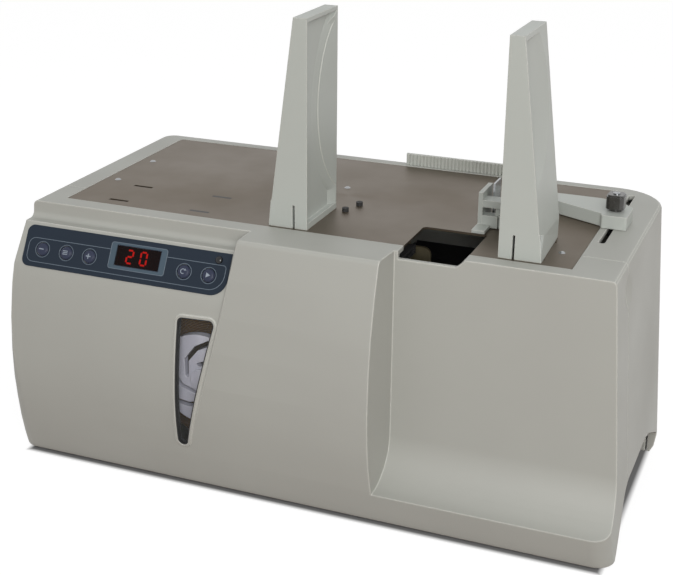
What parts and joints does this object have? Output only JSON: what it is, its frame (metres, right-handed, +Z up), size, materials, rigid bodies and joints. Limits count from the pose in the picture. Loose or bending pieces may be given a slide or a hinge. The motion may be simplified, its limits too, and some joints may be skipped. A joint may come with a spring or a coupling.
{
  "type": "banknote strapping machine",
  "caption": "Table-top machine that straps banknote bundles: drafted moulded casing, steel deck, tall bundle guides, sliding stop arm, key panel and hand recess.",
  "frame": {"origin": "middle of the bounding box's footprint, on the table", "axes": "+X to the operator's right, +Y to the rear, +Z up"},
  "size_m": [0.4162, 0.217, 0.3108],
  "materials": {
    "casing": "fine textured moulding, warm grey",
    "guide_plastic": "fine textured moulding, light grey",
    "deck_steel": "brushed stainless steel",
    "zinc_steel": "zinc plated sheet",
    "bright_steel": "bright steel",
    "panel_film": "printed polyester film, dark blue grey",
    "key_plastic": "blue grey, light symbols",
    "display_lens": "dark red filter",
    "black_plastic": "black moulding",
    "board_green": "solder-masked laminate",
    "clear_window": "clear acrylic",
    "knob_plastic": "dark grey moulding",
    "rubber": "black rubber",
    "pinch_rubber": "red-brown rubber",
    "tape_paper": "edge of wound paper tape",
    "reel_plastic": "light grey moulding",
    "gear_plastic": "natural acetal",
    "brass": "machined brass",
    "motor_steel": "motor can",
    "coil_wrap": "wrapped coil",
    "rocker_red": "red rocker"
  },
  "bodies": {
    "housing": {"rear_housing": "casing", "deck_plate": "deck_steel", "deck_rivets": "bright_steel", "slot_plugs": "guide_plastic", "rear_fence": "casing", "deck_bumpers": "rubber", "base_plate": "zinc_steel", "rubber_feet": "rubber", "base_screws": "bright_steel", "hinge_pins": "bright_steel", "frame_plate": "zinc_steel", "frame_spacers": "bright_steel", "gear_plate": "zinc_steel", "reel_spindle": "bright_steel", "tape_channel": "black_plastic", "pinch_axle": "bright_steel", "drive_motor": "motor_steel", "press_solenoid": "coil_wrap", "transformer": "coil_wrap", "main_board": "board_green", "board_standoffs": "brass", "mains_inlet": "black_plastic", "switch_frame": "black_plastic"},
    "cover": {"front_cover": "casing", "panel_overlay": "panel_film", "display_window": "display_lens", "display_module": "black_plastic", "panel_board": "board_green", "reel_window": "clear_window"},
    "minus_key": {"key_minus": "key_plastic"},
    "mode_key": {"key_mode": "key_plastic"},
    "plus_key": {"key_plus": "key_plastic"},
    "auto_key": {"key_auto": "key_plastic"},
    "start_key": {"key_start": "key_plastic"},
    "guide_left": {"left_guide": "guide_plastic"},
    "guide_right": {"right_guide": "guide_plastic"},
    "arm": {"stop_arm": "casing", "arm_screw": "bright_steel", "arm_nut": "bright_steel", "arm_head": "casing", "side_stop": "guide_plastic", "stop_blade": "zinc_steel"},
    "knob": {"arm_knob": "knob_plastic"},
    "reel": {"tape_reel": "reel_plastic", "tape_roll": "tape_paper", "reel_handwheel": "reel_plastic"},
    "feed": {"feed_roller": "rubber", "feed_shaft": "bright_steel", "drive_gear": "gear_plastic"},
    "pinch": {"pinch_roller": "pinch_rubber"},
    "motor": {"motor_gear": "brass"},
    "press": {"press_plate": "bright_steel", "press_plunger": "bright_steel", "seal_heater": "brass", "cutter_blade": "bright_steel"},
    "rocker": {"power_switch": "rocker_red"}
  },
  "joints": [
    {"name": "cover_hinge", "type": "hinge", "parent": "housing", "child": "cover", "pos_m": [0, -0.088, 0.012], "axis": [1, 0, 0], "range_deg": [0, 55]},
    {"name": "minus_press", "type": "slide", "parent": "cover", "child": "minus_key", "axis": [0, 0.8695, -0.4939], "range_m": [0, 0.0008], "stiffness_N_per_m": 300, "springref_m": -0.0005},
    {"name": "mode_press", "type": "slide", "parent": "cover", "child": "mode_key", "axis": [0, 0.8695, -0.4939], "range_m": [0, 0.0008], "stiffness_N_per_m": 300, "springref_m": -0.0005},
    {"name": "plus_press", "type": "slide", "parent": "cover", "child": "plus_key", "axis": [0, 0.8695, -0.4939], "range_m": [0, 0.0008], "stiffness_N_per_m": 300, "springref_m": -0.0005},
    {"name": "auto_press", "type": "slide", "parent": "cover", "child": "auto_key", "axis": [0, 0.8695, -0.4939], "range_m": [0, 0.0008], "stiffness_N_per_m": 300, "springref_m": -0.0005},
    {"name": "start_press", "type": "slide", "parent": "cover", "child": "start_key", "axis": [0, 0.8695, -0.4939], "range_m": [0, 0.0008], "stiffness_N_per_m": 300, "springref_m": -0.0005},
    {"name": "left_guide_lift", "type": "slide", "parent": "housing", "child": "guide_left", "axis": [0, 0, 1], "range_m": [0, 0.02]},
    {"name": "right_guide_lift", "type": "slide", "parent": "housing", "child": "guide_right", "axis": [0, 0, 1], "range_m": [0, 0.02]},
    {"name": "arm_slide", "type": "slide", "parent": "housing", "child": "arm", "axis": [0, 1, 0], "range_m": [-0.038, 0.024]},
    {"name": "knob_turn", "type": "hinge", "parent": "arm", "child": "knob", "pos_m": [0.1717, 0.0285, 0.19], "axis": [0, 0, 1], "range_deg": [0, 180]},
    {"name": "reel_spin", "type": "hinge", "parent": "housing", "child": "reel", "pos_m": [-0.064, -0.054, 0.078], "axis": [0, 1, 0], "continuous": true},
    {"name": "feed_spin", "type": "hinge", "parent": "housing", "child": "feed", "pos_m": [0.021, -0.054, 0.128], "axis": [0, 1, 0], "continuous": true},
    {"name": "pinch_spin", "type": "hinge", "parent": "housing", "child": "pinch", "pos_m": [-0.0033, -0.054, 0.128], "axis": [0, 1, 0], "continuous": true},
    {"name": "motor_spin", "type": "hinge", "parent": "housing", "child": "motor", "pos_m": [0.021, -0.027, 0.092], "axis": [0, 1, 0], "continuous": true},
    {"name": "press_lift", "type": "slide", "parent": "housing", "child": "press", "axis": [0, 0, 1], "range_m": [0, 0.014]},
    {"name": "rocker_tilt", "type": "hinge", "parent": "housing", "child": "rocker", "pos_m": [-0.112, 0.102, 0.052], "axis": [0, 0, 1], "range_deg": [-14, 0]}
  ],
  "couplings": [
    {"joint": "motor_spin", "follows": "feed_spin", "ratio": -2},
    {"joint": "pinch_spin", "follows": "feed_spin", "ratio": -1.4}
  ]
}
